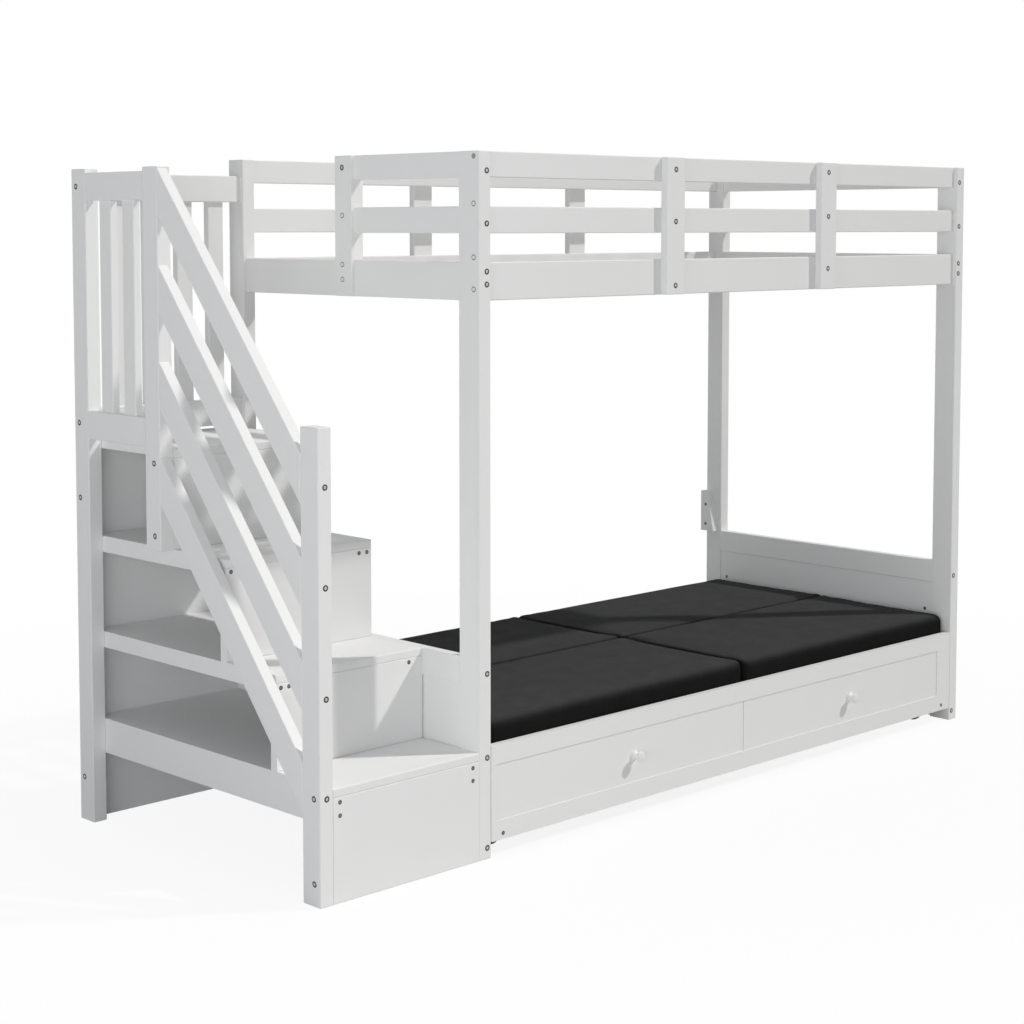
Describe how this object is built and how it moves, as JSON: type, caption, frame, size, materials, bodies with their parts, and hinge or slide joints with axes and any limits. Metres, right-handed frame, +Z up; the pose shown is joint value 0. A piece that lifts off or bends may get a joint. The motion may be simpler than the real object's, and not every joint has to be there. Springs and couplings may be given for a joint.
{
  "type": "loft bed with storage stairs",
  "caption": "White panelled loft bed with guard rails, a stair of open shelf steps with slanting bars, and a cushioned bed that rolls out from underneath.",
  "frame": {"origin": "on the floor, below the middle of the whole object's bounding box", "axes": "+X along the bed, from the stair end to the far end; +Y from the front with the rolling bed to the back; +Z up"},
  "size_m": [2.4697, 0.9923, 1.6642],
  "materials": {
    "white_paint": "opaque white satin lacquer over smooth timber",
    "white_board": "opaque white coating on thin board",
    "slats": "planed timber with a thin white coat, on woven straps",
    "cushion_fabric": "matte woven black cover over foam",
    "caster_steel": "zinc-plated pressed sheet",
    "caster_tyre": "matte black"
  },
  "bodies": {
    "loft": {"bed_post_front_left": "white_paint", "bed_post_front_right": "white_paint", "bed_post_back_left": "white_paint", "bed_post_back_right": "white_paint", "front_top_rail": "white_paint", "front_mid_rail": "white_paint", "front_side_rail": "white_paint", "back_top_rail": "white_paint", "back_mid_rail": "white_paint", "back_side_rail": "white_paint", "left_top_rail": "white_paint", "left_mid_rail": "white_paint", "left_low_rail": "white_paint", "right_top_rail": "white_paint", "right_mid_rail": "white_paint", "right_low_rail": "white_paint", "gate_post": "white_paint", "front_guard_board_1": "white_paint", "front_guard_board_2": "white_paint", "back_guard_board_1": "white_paint", "back_guard_board_2": "white_paint", "slat_deck": "slats", "end_panel_left": "white_paint", "end_panel_right": "white_paint", "wall_block": "white_paint", "stair_post_front": "white_paint", "stair_post_mid": "white_paint", "stair_post_rear": "white_paint", "slanting_bar_1": "white_paint", "slanting_bar_2": "white_paint", "slanting_bar_3": "white_paint", "slanting_bar_4": "white_paint", "landing_side_guard": "white_paint", "landing_back_guard": "white_paint", "tread_1": "white_paint", "tread_2": "white_paint", "tread_3": "white_paint", "landing_board": "white_paint", "riser_1": "white_paint", "riser_2": "white_paint", "riser_3": "white_paint", "riser_4": "white_paint", "stair_back_panel": "white_board"},
    "pullout": {"pullout_front": "white_paint", "pullout_knob_left": "white_paint", "pullout_knob_right": "white_paint", "pullout_base": "white_board", "pullout_deck": "white_board", "cushion_front_left": "cushion_fabric", "cushion_front_right": "cushion_fabric", "cushion_back_left": "cushion_fabric", "cushion_back_right": "cushion_fabric", "caster_fork_front_left": "caster_steel", "caster_fork_front_right": "caster_steel", "caster_fork_back_left": "caster_steel", "caster_fork_back_right": "caster_steel"},
    "wheel_front_left": {"caster_wheel_front_left": "caster_tyre"},
    "wheel_front_right": {"caster_wheel_front_right": "caster_tyre"},
    "wheel_back_left": {"caster_wheel_back_left": "caster_tyre"},
    "wheel_back_right": {"caster_wheel_back_right": "caster_tyre"}
  },
  "joints": [
    {"name": "pullout_slide", "type": "slide", "parent": "loft", "child": "pullout", "axis": [0, -1, 0], "range_m": [0, 0.9]},
    {"name": "wheel_front_left_spin", "type": "hinge", "parent": "pullout", "child": "wheel_front_left", "pos_m": [-0.64894, -0.39216, 0.025], "axis": [1, 0, 0], "continuous": true},
    {"name": "wheel_front_right_spin", "type": "hinge", "parent": "pullout", "child": "wheel_front_right", "pos_m": [1.12725, -0.39216, 0.025], "axis": [1, 0, 0], "continuous": true},
    {"name": "wheel_back_left_spin", "type": "hinge", "parent": "pullout", "child": "wheel_back_left", "pos_m": [-0.64894, 0.34984, 0.025], "axis": [1, 0, 0], "continuous": true},
    {"name": "wheel_back_right_spin", "type": "hinge", "parent": "pullout", "child": "wheel_back_right", "pos_m": [1.12725, 0.34984, 0.025], "axis": [1, 0, 0], "continuous": true}
  ],
  "couplings": [
    {"joint": "wheel_front_left_spin", "follows": "pullout_slide", "rad_per_m": 40},
    {"joint": "wheel_front_right_spin", "follows": "pullout_slide", "rad_per_m": 40},
    {"joint": "wheel_back_left_spin", "follows": "pullout_slide", "rad_per_m": 40},
    {"joint": "wheel_back_right_spin", "follows": "pullout_slide", "rad_per_m": 40}
  ]
}
